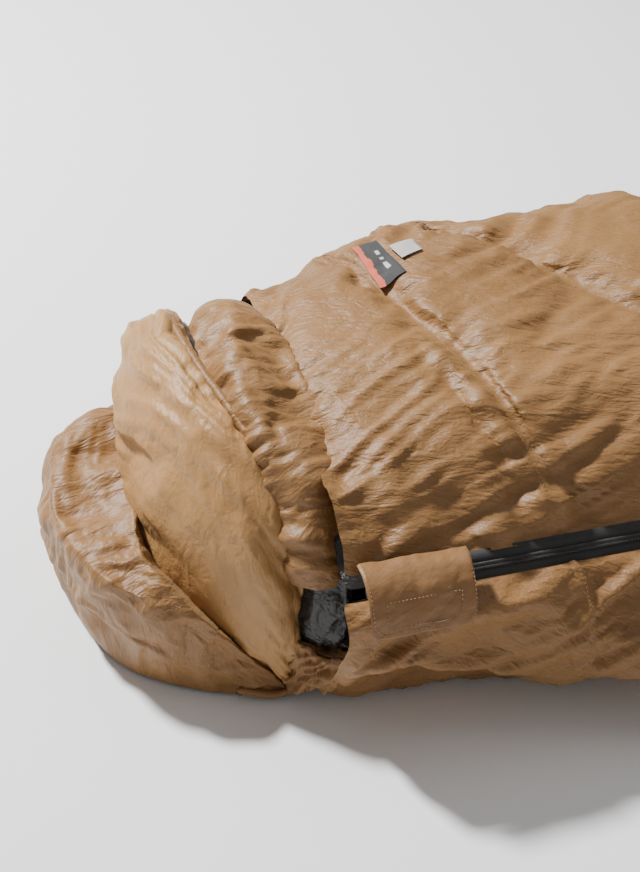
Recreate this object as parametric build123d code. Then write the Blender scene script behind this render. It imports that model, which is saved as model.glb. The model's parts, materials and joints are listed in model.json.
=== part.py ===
"""Mummy sleeping bag: down quilts round a sleeper, with a hood, a neck collar and a two-way side zip.

Frame: millimetres, +Z up, +X towards the foot, -Y the zip side. The origin is on the ground under the
middle of the bag. A quilt is a shell, a row of down chambers parted by mesh baffle walls, and a lining.
"""
from build123d import *
from math import hypot
import os

os.makedirs("parts", exist_ok=True)

# --- The quilts ---------------------------------------------------------------------------------
skin = 1.0               # thickness of the shell and lining fabric
fill_clear = 0.3         # between a skin and the down behind it
wall = 1.0               # thickness of a mesh baffle wall
bottom_depth = 32.0      # the underside quilt, pressed flat by the bag's weight
side_depth = 38.0
top_depth = 40.0
seam_gap = 0.4           # between neighbouring quilts along their seam
stretch_gap = 0.6        # between the two or three solids that make up one bent chamber

neck_x = -800.0          # edge of the top quilt at the neck
first_seam_x = -645.0
chamber_length = 194.0
chamber_count = 8        # whole chambers; a short one at each end completes the row
foot_x = 1008.0          # where the body meets the foot box
foot_end_x = 1044.0
body_seams = [first_seam_x + i * chamber_length for i in range(chamber_count + 1)]
body_stations = [neck_x] + body_seams + [foot_x]

# Outline of the body: x, the widest point on the zip side, on the far side, and the crown's height.
body_outline = [
    (neck_x, -240, 232, 248),
    (body_seams[0], -258, 325, 284),
    (body_seams[1], -308, 325, 287),
    (body_seams[3], -305, 315, 280),
    (body_seams[5], -265, 272, 255),
    (body_seams[8], -210, 210, 226),
    (foot_x, -200, 198, 215),
]
floor_inset = 52.0       # the floor quilt's edge, inward from the widest point on the far side
zip_floor_inset = 95.0   # the same on the zip side, which tucks under further
lift = 2.0               # the side quilts' lower edges stay this far off the ground

# --- The zip ------------------------------------------------------------------------------------
zip_top = Vector(-786, -218, 183)
zip_bottom = Vector(body_seams[6], -172, 140)
zip_direction = (zip_bottom - zip_top).normalized()
zip_length = (zip_bottom - zip_top).length - 6
zip_lean = (-0.700, 0.714)               # outward normal of the tapes, as (y, z)
zip_across = (0.714, 0.700)              # across the tapes towards the top quilt, as (y, z)
zip_plane = Plane(zip_top, x_dir=zip_direction, z_dir=zip_direction.cross(Vector(0, *zip_across)))
tape_edge = 15.0
tape_thickness = 0.8
coil_radius = 1.2
coil_gap = 1.8                           # between the two coils, for the slider's post
top_slider_at = 86.0                     # along the zip from its top end
bottom_slider_at = 1270.0

# --- The fold of the opened top corner ----------------------------------------------------------
fold_start = Vector(-811, 140, 0)
fold_end = Vector(zip_bottom.X, zip_bottom.Y - 10, 0)
fold_plane = Plane(fold_start, x_dir=fold_end - fold_start, z_dir=(0, 0, 1))
fold_gap = 0.8
corner_foot_x = body_seams[3]            # the stiff corner ends here; beyond it the quilt twists

# --- The hood -----------------------------------------------------------------------------------
hood_y = 25.0            # the hood's middle
hood_end_x = -1050.0
cup_rear_x = -1012.0
cup_front_x = -969.0
cup_radius = 155.0       # outer half width of the hood's back
cup_depth = 36.0
cup_centre_z = 45.0
cup_end_scale = 0.62
brim_front_x = -895.0
brim_rear_x = -967.0
brim_inner = 160.0       # half the brim's inner width
brim_thickness = 38.0
brim_centre_z = 101.0    # where the brim's straight legs turn into its arch
brim_foot_z = 12.0
hem_radius = 4.0
hem_bore = 2.3
cord_radius = 1.75

# --- The collar ---------------------------------------------------------------------------------
collar_x = -829.0
collar_radius = 26.0


def outline(x):
    """Zip-side width, far-side width and crown height of the body at x."""
    for a, b in zip(body_outline, body_outline[1:]):
        if x <= b[0]:
            break
    t = (x - a[0]) / (b[0] - a[0])
    return [p + (q - p) * t for p, q in zip(a[1:], b[1:])]


def zip_point(x):
    """The zip line, and the seam that carries it on to the foot, at x."""
    t = (x - zip_top.X) / (zip_bottom.X - zip_top.X)
    return zip_top.Y + (zip_bottom.Y - zip_top.Y) * t, zip_top.Z + (zip_bottom.Z - zip_top.Z) * t


def lip(x, side, depth):
    """A quilt's edge beside the zip: side is -1 below the zip and 1 above it."""
    y, z = zip_point(x)
    half = tape_edge + 0.6 if x <= zip_bottom.X + 1 else 0.5
    y += side * half * zip_across[0] - depth * zip_lean[0]
    z += side * half * zip_across[1] - depth * zip_lean[1]
    return y, z


# Each quilt gives its outer and its inner line at x, point for point.
def near_side(x):
    near, _, crown = outline(x)
    y, z = zip_point(x)
    outer = [(near + zip_floor_inset, lift), (near + 40, 22), (near, crown * 0.3)]
    inner = [(near + zip_floor_inset, side_depth + lift), (near + 68, 49), (near + 38, crown * 0.31)]
    outer += [(y - 34, z - 14), lip(x, -1, 0)]
    return outer, inner + [(y - 6, z - 40), lip(x, -1, side_depth)]


def far_side(x):
    _, far, crown = outline(x)
    outer = [(far - floor_inset, lift), (far, crown * 0.35), (far - 38, crown - 62), (far - 110, crown - 6)]
    inner = [(far - floor_inset, side_depth + lift), (far - 40, crown * 0.36)]
    return outer, inner + [(far - 70, crown - 84), (far - 118, crown - 46)]


def top(x):
    _, far, crown = outline(x)
    y, z = zip_point(x)
    outer = [lip(x, 1, 0), (y + 22, z + 38), (y + 105, crown), (far - 180, crown)]
    inner = [lip(x, 1, top_depth), (y + 48, z + 4), (y + 112, crown - top_depth)]
    outer.append((far - 110 - seam_gap, crown - 6))
    return outer, inner + [(far - 182, crown - top_depth), (far - 118 - seam_gap, crown - 46)]


def stretch(quilt, first, last):
    """A quilt between two points of its lines, starting a little short of the stretch before it."""
    def lines(x):
        parts = []
        for line in quilt(x):
            part = line[first:last + 1]
            (a, b), (c, d) = part[:2]
            share = stretch_gap / hypot(c - a, d - b) if first else 0
            parts.append([(a + (c - a) * share, b + (d - b) * share)] + part[1:])
        return parts
    return lines


def between(outer, inner, share, offset):
    """The line at a share of the way from the outer line to the inner one, and offset further in."""
    line = []
    for (a, b), (c, d) in zip(outer, inner):
        length = hypot(c - a, d - b)
        reach = share + offset / length
        line.append((a + (c - a) * reach, b + (d - b) * reach))
    return line


shell_layer = ((0, 0), (0, skin))
down_layer = ((0, skin + fill_clear), (1, -skin - fill_clear))
lining_layer = ((1, -skin), (1, 0))


def section(quilt, x, layer):
    outer, inner = quilt(x)
    line = between(outer, inner, *layer[0]) + between(outer, inner, *layer[1])[::-1]
    return Wire.make_polygon([(x, y, z) for y, z in line], close=True)


def run(quilt, stations, layer):
    """One layer of a quilt through a row of stations."""
    return Solid.make_loft([section(quilt, x, layer) for x in stations], True)


def chambers(quilt, stations):
    """One down chamber between each two stations."""
    inset = wall / 2 + fill_clear
    return [run(quilt, [a + inset, b - inset], down_layer) for a, b in zip(stations, stations[1:])]


def baffles(quilt, stations):
    return [run(quilt, [x - wall / 2, x + wall / 2], down_layer) for x in stations]


def save(name, *solids):
    while any(isinstance(shape, (list, ShapeList)) for shape in solids):
        solids = [s for shape in solids for s in (shape if isinstance(shape, (list, ShapeList)) else [shape])]
    solids = [s for shape in solids for s in shape.solids()]
    export_step(solids[0] if len(solids) == 1 else Compound(children=solids), f"parts/{name}.step")


def corner_zone(grown):
    """Everything on the zip side of the fold and head side of the corner's end, grown by this much."""
    size = 3000
    beside = fold_plane * Pos(size / 4, grown - fold_gap / 2 - size / 2, 0) * Box(size, size, size)
    return beside & Pos(corner_foot_x + grown - size / 2, 0, 0) * Box(size, 2 * size, size)


def split(solids, corner):
    """The pieces of these solids that belong to the corner, or the pieces that don't."""
    zone = corner_zone(0 if corner else fold_gap)
    smallest = 200
    kept = [solid & zone if corner else solid - zone for solid in solids]
    return [s for shape in kept if shape for s in shape.solids() if s.volume > smallest]


# --- Floor quilt: flat, from the hood's end to the foot ------------------------------------------
def floor_edges(x):
    """The floor quilt's two edges at x."""
    hood_widths = [(hood_end_x, 84), (cup_front_x, 122), (-830, 124)]
    if x <= hood_widths[-1][0]:
        for a, b in zip(hood_widths, hood_widths[1:]):
            if x <= b[0]:
                break
        half = a[1] + (b[1] - a[1]) * (x - a[0]) / (b[0] - a[0])
        return hood_y - half, hood_y + half
    near, far, _ = outline(max(x, neck_x))
    return near + zip_floor_inset + seam_gap, far - floor_inset - seam_gap


def floor_plate(xs, low, high):
    near = [(x, floor_edges(x)[0]) for x in xs]
    far = [(x, floor_edges(x)[1]) for x in reversed(xs)]
    return extrude(Plane.XY.offset(low) * make_face(Polyline(*near, *far, close=True)), high - low)


hood_stations = [hood_end_x, cup_front_x, -830, neck_x]
outline_stations = [row[0] for row in body_outline if row[0] > neck_x]
floor_stations = hood_stations + outline_stations
floor_seams = [hood_end_x, cup_front_x + 20] + body_stations


def floor_down():
    inset = wall / 2 + fill_clear
    solids = []
    for a, b in zip(floor_seams, floor_seams[1:]):
        xs = [a + inset] + [x for x in floor_stations if a + 2 < x < b - 2] + [b - inset]
        solids.append(floor_plate(xs, skin + fill_clear, bottom_depth - skin - fill_clear))
    return solids


def floor_baffles():
    low, high = skin + fill_clear, bottom_depth - skin - fill_clear
    return [floor_plate([x - wall / 2, x + wall / 2], low, high) for x in floor_seams[1:-1]]


save("bottom_shell", floor_plate(floor_stations, 0, skin))
save("bottom_down_chambers", floor_down())
save("bottom_baffle_walls", floor_baffles())
save("bottom_lining", floor_plate(floor_stations, bottom_depth - skin, bottom_depth))

# --- Side quilts -------------------------------------------------------------------------------
skin_stations = sorted(set(body_stations + outline_stations))
for name, quilt, bends in (("zip_side", near_side, (0, 2, 4)), ("far_side", far_side, (0, 1, 2, 3))):
    save(f"{name}_shell", run(quilt, skin_stations, shell_layer))
    stretches = [stretch(quilt, a, b) for a, b in zip(bends, bends[1:])]
    save(f"{name}_down_chambers", [chambers(part, body_stations) for part in stretches])
    save(f"{name}_lining", run(quilt, skin_stations, lining_layer))
save("side_baffle_walls", baffles(near_side, body_seams), baffles(far_side, body_seams))

# --- Top quilt, parted along the fold of its corner -----------------------------------------------
top_shell = [run(top, skin_stations, shell_layer)]
top_lining = [run(top, skin_stations, lining_layer)]
top_down = chambers(stretch(top, 0, 2), body_stations) + chambers(stretch(top, 2, 4), body_stations)
top_baffles = baffles(top, body_seams)
for name in ("corner", "top"):
    corner = name == "corner"
    save(f"{name}_shell", split(top_shell, corner))
    save(f"{name}_down_chambers", split(top_down, corner))
    save(f"{name}_lining", split(top_lining, corner))
    save(f"{name}_baffle_walls", split(top_baffles, corner))


# --- Foot box ------------------------------------------------------------------------------------
def foot_outline(scale):
    near, far, crown = outline(foot_x)
    middle = (near + far) / 2
    points = near_side(foot_x)[0][:4] + top(foot_x)[0][1:4] + far_side(foot_x)[0][2::-1]
    return [(middle + (y - middle) * scale, lift + (z - lift) * scale) for y, z in points]


def foot_slab(start, end, start_scale, end_scale):
    rings = [(start, start_scale), (end, end_scale)]
    return Solid.make_loft(
        [Wire.make_polygon([(x, y, z) for y, z in foot_outline(s)], close=True) for x, s in rings], True
    )


foot_scale = 0.9
save("foot_box_lining", foot_slab(foot_x + 0.4, foot_x + 1.4, 1, 0.997))
save("foot_box_down", foot_slab(foot_x + 1.7, foot_end_x - 1.4, 0.996, foot_scale + 0.003))
save("foot_box_shell", foot_slab(foot_end_x - 1, foot_end_x, foot_scale + 0.003, foot_scale))

loop_width, loop_reach, strap = 26.0, 13.0, 3.0
loops = []
for y in (-120, 115):
    place = Pos(foot_end_x + 0.3 + loop_reach / 2, y, 70)
    hole = loop_width - 2 * strap
    ring = Box(loop_reach, loop_width, 8) - Pos(-strap / 2, 0, 0) * Box(loop_reach - strap, hole, 8)
    loops.append(place * ring)
    loops.append(place * Pos(-5.2, 0, 0) * Box(2, hole - 0.6, 8))
save("foot_hang_loops", loops)

# --- Hood: an arch of segments over straight legs ---------------------------------------------------
arch_segments = 6


def arch_sketch(radius, centre_z, foot_z):
    """The area under an arch on straight legs, in a plane across the bag."""
    path = Polyline((radius, centre_z), (radius, foot_z), (-radius, foot_z), (-radius, centre_z))
    return make_face(path + ThreePointArc((-radius, centre_z), (0, centre_z + radius), (radius, centre_z)))


def arch_band(rear_x, front_x, inner, outer, centre_z, foot_z):
    across = Plane((rear_x, hood_y, 0), x_dir=(0, 1, 0), z_dir=(1, 0, 0))
    band = arch_sketch(outer, centre_z, foot_z) - arch_sketch(inner, centre_z, foot_z - 1)
    return extrude(across * band, front_x - rear_x)


def arch_chambers(rear_x, front_x, inner, outer, centre_z, foot_z):
    """The band cut into two legs and a fan of segments, with clearance for the walls between them."""
    band = arch_band(rear_x, front_x, inner, outer, centre_z, foot_z)
    hub = Plane((0, hood_y, centre_z), x_dir=(0, 1, 0), z_dir=(1, 0, 0))
    walls = []
    for i in range(arch_segments + 1):
        angle = 180 * i / arch_segments
        walls.append(hub * Rot(0, 0, angle) * Pos(outer / 2 + 5, 0, rear_x) * Box(outer + 10, 1.6, 4 * outer))
    for one_wall in walls:
        band = band - one_wall
    return band.solids()


def cup_end(start, end, start_scale, end_scale):
    wires = []
    for x, scale in ((start, start_scale), (end, end_scale)):
        r = cup_radius * scale
        half = [(r, lift), (r, cup_centre_z * scale), (r * 0.87, cup_centre_z * scale + r / 2)]
        half.append((r / 2, cup_centre_z * scale + r * 0.87))
        ring = half + [(0, cup_centre_z * scale + r)] + [(-y, z) for y, z in half[::-1]]
        wires.append(Wire.make_polygon([(x, hood_y + y, z) for y, z in ring], close=True))
    return Solid.make_loft(wires, True)


layers = {"shell": (0, skin), "down": (skin + fill_clear, -skin - fill_clear), "lining": (-skin, 0)}


def layer_radii(outer, depth, layer):
    low, high = layers[layer]
    return outer - (high if high > 0 else depth + high), outer - (low if low >= 0 else depth + low)


cup_foot_z = bottom_depth + 1
end_x = {"lining": (cup_rear_x - 1.4, cup_rear_x - 0.4), "down": (hood_end_x + 1.4, cup_rear_x - 1.7)}
end_x["shell"] = (hood_end_x, hood_end_x + 1)
for layer, (low_x, high_x) in end_x.items():
    inner, outer = layer_radii(cup_radius, cup_depth, layer)
    cut = arch_chambers if layer == "down" else arch_band
    rate = (1 - cup_end_scale) / (cup_rear_x - hood_end_x)
    scales = [1 - (cup_rear_x - x) * rate for x in (high_x, low_x)]
    end = cup_end(high_x, low_x, *scales) - Pos(0, hood_y, 0) * Box(3000, 500, 2 * cup_foot_z)
    save(f"hood_back_{layer}", cut(cup_rear_x, cup_front_x, inner, outer, cup_centre_z, cup_foot_z), end)

for layer in layers:
    inner, outer = layer_radii(brim_inner + brim_thickness, brim_thickness, layer)
    cut = arch_chambers if layer == "down" else arch_band
    save(f"hood_brim_{layer}", cut(brim_rear_x, brim_front_x, inner, outer, brim_centre_z, brim_foot_z))

# The brim's hem runs along its front edge and holds the drawcord from end to end.
hem_x = brim_front_x + hem_radius + 0.4
hem_plane = Plane((hem_x, hood_y, 0), x_dir=(0, 1, 0), z_dir=(1, 0, 0))
hem_arch_radius = brim_inner + brim_thickness / 2


def hem_tube(radius, shorten):
    """A round tube along the hem, its ends shortened by this much."""
    r, z = hem_arch_radius, brim_centre_z
    start = brim_foot_z + shorten
    ends = [Line((-r, start), (-r, z)), Line((r, z), (r, start))]
    arch = ThreePointArc((-r, z), (0, z + r), (r, z))
    path = hem_plane * Wire([*ends[0].edges(), *arch.edges(), *ends[1].edges()])
    return sweep(Plane(path @ 0, z_dir=path % 0) * Circle(radius), path)


save("brim_hem", hem_tube(hem_radius, 0) - hem_tube(hem_bore, 0))
save("brim_drawcord", hem_tube(cord_radius, 2))
eyelets = []
for side in (-1, 1):
    ring = Cylinder(4.5, 1.2) - Cylinder(2.4, 1.2)
    eyelets.append(Pos(hem_x, hood_y + side * hem_arch_radius, brim_foot_z - 1) * ring)
save("brim_eyelets", eyelets)

# --- Cord lock, sewn inside the brim's zip-side leg -------------------------------------------------
lock_place = Pos(-931, hood_y - brim_inner + 9.2, 68)
lock_body = Cylinder(7, 20) - Pos(0, 0, 2.5) * Cylinder(5, 20)
lock_body -= Pos(0, 0, -1) * Rot(0, 90, 0) * Cylinder(2.4, 20)
lock_body += Pos(0, -7.4, 0) * Box(6, 2.4, 12) - Pos(0, 0, 2.5) * Cylinder(5, 20)
save("cord_lock_body", lock_place * lock_body)
button = Pos(0, 0, 4.3) * Cylinder(4.95, 16) - Pos(0, 0, 2) * Rot(0, 90, 0) * Cylinder(2.4, 20)
save("cord_lock_button", lock_place * button)
save("cord_lock_spring", lock_place * Pos(0, 0, -5.65) * (Cylinder(3.6, 3.3) - Cylinder(2.8, 3.3)))

# --- Collar: a down tube along the neck edge -----------------------------------------------------
collar_plane = Plane((collar_x, 0, 0), x_dir=(0, 1, 0), z_dir=(1, 0, 0))
collar_near, collar_crown, collar_far = (-160, 150), (5, 238), (170, 178)


def collar_tube(radius):
    path = collar_plane * ThreePointArc(collar_near, collar_crown, collar_far)
    return sweep(Plane(path @ 0, z_dir=path % 0) * Circle(radius), path)


save("collar_shell", collar_tube(collar_radius) - collar_tube(collar_radius - skin))
save("collar_down", collar_tube(collar_radius - skin - fill_clear) - collar_tube(hem_bore + 1))
save("collar_cord_channel", collar_tube(hem_bore + 0.7) - collar_tube(hem_bore))
save("collar_drawcord", collar_tube(cord_radius))

# --- Zip: drawn along its own line, in the tapes' plane ---------------------------------------------
def strip(start, end, y0, y1, z0, z1):
    """A block in the zip's frame: along the zip, across it towards the top quilt, and outward."""
    middle = Pos((start + end) / 2, (y0 + y1) / 2, (z0 + z1) / 2)
    return zip_plane * middle * Box(end - start, y1 - y0, z1 - z0)


def rod(start, end, y, z, radius):
    return zip_plane * Pos((start + end) / 2, y, z) * Rot(0, 90, 0) * Cylinder(radius, end - start)


coil_y = coil_gap / 2 + coil_radius
coil_start, coil_end = 16, zip_length - 16
stop_size = 3.4
corner_zip_end = (corner_foot_x - zip_top.X) / zip_direction.X


def zip_half(side, start, end):
    """The tape, coil and anti-snag tape of one side of the zip, over a stretch of it."""
    edges = sorted((side * coil_gap / 2, side * tape_edge))
    guard = sorted((side * 7, side * (tape_edge - 0.4)))
    tape = strip(start, end, *edges, -tape_thickness, 0)
    coil = rod(max(start, coil_start), min(end, coil_end), side * coil_y, coil_radius, coil_radius)
    return tape, coil, strip(max(start, 10), min(end, zip_length - 10), *guard, -2, -tape_thickness - 0.2)


# The corner carries the upper half of the zip; the bag carries the lower half and the closed end.
upper = zip_half(1, 0, corner_zip_end - fold_gap)
lower = zip_half(-1, 0, zip_length)
closed_end = zip_half(1, corner_zip_end + fold_gap, zip_length)
for i, name in enumerate(("zip_tape", "zip_coil", "anti_snag_tape")):
    save(f"{name}_upper", upper[i])
    save(f"{name}_lower", lower[i], closed_end[i])
for name, side in (("upper", 1), ("lower", -1)):
    stop = sorted((side * (coil_gap / 2 + 0.2), side * (coil_gap / 2 + stop_size)))
    stops = [strip(coil_start - 5, coil_start - 1, *stop, 0, 2.4)]
    if side < 0:
        stops.append(strip(coil_end + 1, coil_end + 5, *stop, 0, 2.4))
    save(f"zip_stops_{name}", stops)

pin_radius = 1.0
pin_fit = 0.05
lug_z = 5.2
plate_half, slider_half = 7.0, 4.8


def slider(at):
    """A coil slider: two plates joined by a post that runs between the coils, and a lug for each tab."""
    body = strip(at - plate_half, at + plate_half, -slider_half, slider_half, 2.7, 3.7)
    body += strip(at - plate_half, at + plate_half, -slider_half, slider_half, -2.2, -1.2)
    body += strip(at - plate_half, at - 2, -0.6, 0.6, -1.5, 3)
    for side in (-1, 1):
        body += strip(at - plate_half, at + plate_half, *sorted((side * 3.7, side * slider_half)), 0.4, 2.9)
    body += strip(at - 2.4, at + 2.4, -0.8, 0.8, 3.5, lug_z + 2.1)
    body += strip(at - 2.4, at + 2.4, -0.8, 0.8, -lug_z - 0.6, -2)
    for z in (lug_z, 1.5 - lug_z):
        body -= zip_plane * Pos(at, 0, z) * Rot(90, 0, 0) * Cylinder(pin_radius + pin_fit, 6)
    return body


def pull_tab(at, z, length, direction):
    """A tab on a cross pin, lying towards the foot or hanging inward from its pin."""
    tab = Rot(90, 0, 0) * Cylinder(pin_radius, 4.6)
    for side in (-1, 1):
        tab += Pos(2.5, side * 1.75, 0) * Box(5 + 2 * pin_radius, 1.1, 1.4)
    tab += Pos((4.6 + length) / 2, 0, 0) * Box(length - 4.6, 6, 1.4)
    tab -= Pos(length - 3, 0, 0) * Cylinder(1.3, 4)
    return zip_plane * Pos(at, 0, z) * Rot(0, direction, 0) * tab


save("top_slider", slider(top_slider_at))
save("top_pull_outer", pull_tab(top_slider_at, lug_z, 12, 0))
save("top_pull_inner", pull_tab(top_slider_at, 1.5 - lug_z, 14, 90))
save("bottom_slider", slider(bottom_slider_at))
save("bottom_pull", pull_tab(bottom_slider_at, lug_z, 24, 180))

# --- Draft tube behind the zip ----------------------------------------------------------------------
draft_radius = 21.0
draft_z = -62.0
draft = rod(20, zip_length - 20, 0, draft_z, draft_radius)
save("draft_tube_shell", draft - rod(0, zip_length, 0, draft_z, draft_radius - skin))
save("draft_tube_down", rod(22, zip_length - 22, 0, draft_z, draft_radius - skin - fill_clear))

# --- Flap over the top of the zip, with its hook and loop patches -----------------------------------
flap_start, flap_end = -6.0, 98.0
flap_half = 1.1
flap_line = [(20, 7.8), (8, 20), (-8, 24.5), (-30, 20.5), (-55, 10.5)]


def flap_section(line, half):
    """A closed outline around a line in the zip's cross plane."""
    upper = [(y, z + half) for y, z in line]
    return upper + [(y, z - half) for y, z in line[::-1]]


def along_zip(points, start, end):
    across = Plane(zip_plane.origin, x_dir=zip_plane.y_dir, z_dir=zip_plane.x_dir)
    face = make_face(Polyline(*points, close=True))
    return extrude(across.offset(start) * face, end - start)


save("zip_flap", along_zip(flap_section(flap_line, flap_half), flap_start, flap_end))
hook_line = [(-34, 17), (-51, 10.2)]
save("hook_patch", along_zip(flap_section(hook_line, 0.6), flap_start + 8, flap_end - 8))
loop_line = [(-38, 13.4), (-53, 4.4)]
save("loop_patch", along_zip(flap_section(loop_line, 0.6), flap_start + 8, flap_end - 8))

# --- Labels sewn into the top quilt beside its first seam --------------------------------------------
label_z = 285.4
save("woven_label", Pos(-667, 149, label_z) * Rot(0, 0, 6) * Box(29, 80, 0.8))
save("side_tag", Pos(-636, 154, label_z) * Rot(0, 0, 6) * Box(24, 28, 0.8))
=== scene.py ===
"""The looks of the mummy sleeping bag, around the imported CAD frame. Metres, in the CAD's own frame."""
import bpy
import json
import math
import numpy as np
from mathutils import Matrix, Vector


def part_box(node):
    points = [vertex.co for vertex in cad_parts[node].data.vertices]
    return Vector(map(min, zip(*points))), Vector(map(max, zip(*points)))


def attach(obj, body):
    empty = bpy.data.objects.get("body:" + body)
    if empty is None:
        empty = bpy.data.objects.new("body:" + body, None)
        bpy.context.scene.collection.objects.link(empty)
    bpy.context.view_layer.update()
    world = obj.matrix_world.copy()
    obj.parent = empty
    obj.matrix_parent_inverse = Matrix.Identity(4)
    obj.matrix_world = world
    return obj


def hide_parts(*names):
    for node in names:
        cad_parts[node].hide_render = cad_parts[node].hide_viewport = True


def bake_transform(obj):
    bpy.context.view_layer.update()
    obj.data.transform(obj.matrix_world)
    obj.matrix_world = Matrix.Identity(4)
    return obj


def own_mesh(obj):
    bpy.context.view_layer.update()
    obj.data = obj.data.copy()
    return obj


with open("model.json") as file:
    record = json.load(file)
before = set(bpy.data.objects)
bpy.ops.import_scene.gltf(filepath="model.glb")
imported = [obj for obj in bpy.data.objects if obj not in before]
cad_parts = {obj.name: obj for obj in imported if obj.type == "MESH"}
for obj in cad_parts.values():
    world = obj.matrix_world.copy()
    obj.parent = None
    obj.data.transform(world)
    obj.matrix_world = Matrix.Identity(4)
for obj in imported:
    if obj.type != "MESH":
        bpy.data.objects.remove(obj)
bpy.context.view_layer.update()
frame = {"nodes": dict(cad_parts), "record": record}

# --- Places, from the frame ---
joints = {joint["name"]: joint for joint in frame["record"]["behaviour"]["joints"]}
along = np.array(joints["top_slider_slide"]["axis"], float)      # down the zip, towards the foot
across = -np.array(joints["top_pull_outer_hinge"]["axis"], float)  # across the zip, towards the top quilt
outward = np.cross(along, across)
pin = np.array(joints["top_pull_outer_hinge"]["pos_m"], float)
pin_height, slider_at, zip_length = 0.0052, 0.086, 1.30
zip_top = pin - outward * pin_height - along * slider_at
hem_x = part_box("brim_hem")[0][0]


def camera_and_light():
    target, distance = Vector((-0.747, 0.082, 0.120)), 1.787
    back = Vector((-0.204, -0.761, 0.616)).normalized()
    camera = bpy.data.objects.new("camera", bpy.data.cameras.new("camera"))
    camera.data.lens = 70
    camera.location = target + back * distance
    camera.rotation_euler = back.to_track_quat("Z", "Y").to_euler()
    bpy.context.collection.objects.link(camera)
    bpy.context.scene.camera = camera
    lights = [("key", (-2.2, 1.7, 2.8), 0.40, 300), ("fill", (-0.6, -3.2, 1.9), 2.6, 3),
              ("top", (0.8, 0.2, 3.2), 2.4, 16)]
    for name, place, size, power in lights:
        light = bpy.data.lights.new(name, "AREA")
        light.shape, light.size, light.energy = "DISK", size, power
        lamp = bpy.data.objects.new(name, light)
        lamp.location = place
        lamp.rotation_euler = (Vector(place) - Vector((-0.6, 0, 0.1))).to_track_quat("Z", "Y").to_euler()
        bpy.context.collection.objects.link(lamp)
    world = bpy.data.worlds.new("studio")
    world.use_nodes = True
    world.node_tree.nodes["Background"].inputs["Color"].default_value = (1, 1, 1, 1)
    world.node_tree.nodes["Background"].inputs["Strength"].default_value = 0.29
    bpy.context.scene.world = world


camera_and_light()


# --- Materials ---
class Nodes:
    """A short way to build a material's nodes."""

    def __init__(self, name):
        self.material = bpy.data.materials.new(name)
        self.material.use_nodes = True
        self.tree = self.material.node_tree
        self.shader = self.tree.nodes["Principled BSDF"]

    def add(self, kind, inputs=None, **settings):
        node = self.tree.nodes.new(kind)
        for key, value in settings.items():
            setattr(node, key, value)
        for key, value in (inputs or {}).items():
            self.plug(node, key, value)
        return node

    def plug(self, node, key, value):
        if isinstance(value, bpy.types.NodeSocket):
            self.tree.links.new(value, node.inputs[key])
        else:
            node.inputs[key].default_value = value

    def set(self, **values):
        for key, value in values.items():
            self.plug(self.shader, key.replace("_", " "), value)

    def uv(self, stretch):
        place = self.add("ShaderNodeTexCoord").outputs["UV"]
        return self.add("ShaderNodeMapping", {"Vector": place, "Scale": stretch}).outputs["Vector"]

    def noise(self, place, scale, detail=3.0, rough=0.5, warp=0.0):
        inputs = {"Vector": place, "Scale": scale, "Detail": detail, "Roughness": rough, "Distortion": warp}
        return self.add("ShaderNodeTexNoise", inputs).outputs["Fac"]

    def ramp(self, value, low, high, start=0.0, stop=1.0):
        inputs = {"Value": value, "From Min": start, "From Max": stop, "To Min": low, "To Max": high}
        return self.add("ShaderNodeMapRange", inputs).outputs["Result"]

    def mix(self, share, a, b):
        node = self.add("ShaderNodeMix", {0: share, 6: a, 7: b}, data_type="RGBA")
        return node.outputs[2]

    def math(self, operation, *values):
        return self.add("ShaderNodeMath", dict(enumerate(values)), operation=operation).outputs[0]

    def bump(self, height, distance, strength=1.0, normal=None):
        node = self.add("ShaderNodeBump", {"Height": height, "Distance": distance, "Strength": strength})
        if normal:
            self.plug(node, "Normal", normal)
        return node.outputs["Normal"]


def woven(nodes, pitch):
    """Height of a plain weave, over the piece's own flat coordinates in metres."""
    waves_per_pitch = 0.314
    heights = []
    for way in "XY":
        inputs = {"Vector": nodes.uv((1, 1, 1)), "Scale": waves_per_pitch / pitch}
        heights.append(nodes.add("ShaderNodeTexWave", inputs, bands_direction=way).outputs["Fac"])
    return nodes.math("ADD", *heights)


def creases(nodes, stretch, turn):
    """Height of sharp creases, long one way and narrow the other, over the flat coordinates."""
    place = nodes.add("ShaderNodeTexCoord").outputs["UV"]
    turned = nodes.add("ShaderNodeMapping", {"Vector": place, "Rotation": (0, 0, turn)}).outputs["Vector"]
    scaled = nodes.add("ShaderNodeMapping", {"Vector": turned, "Scale": stretch}).outputs["Vector"]
    wave = nodes.noise(scaled, 1.0, 3.0, 0.55, 0.5)
    return nodes.math("ABSOLUTE", nodes.math("SUBTRACT", wave, 0.5))


# The creases in the nylon, from coarse to fine: their scale, their turn and their share of the height.
crease_sizes = (((14, 36, 1), 0.0, 1.0), ((40, 84, 1), 0.30, 0.42), ((110, 170, 1), -0.4, 0.16))


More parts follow.
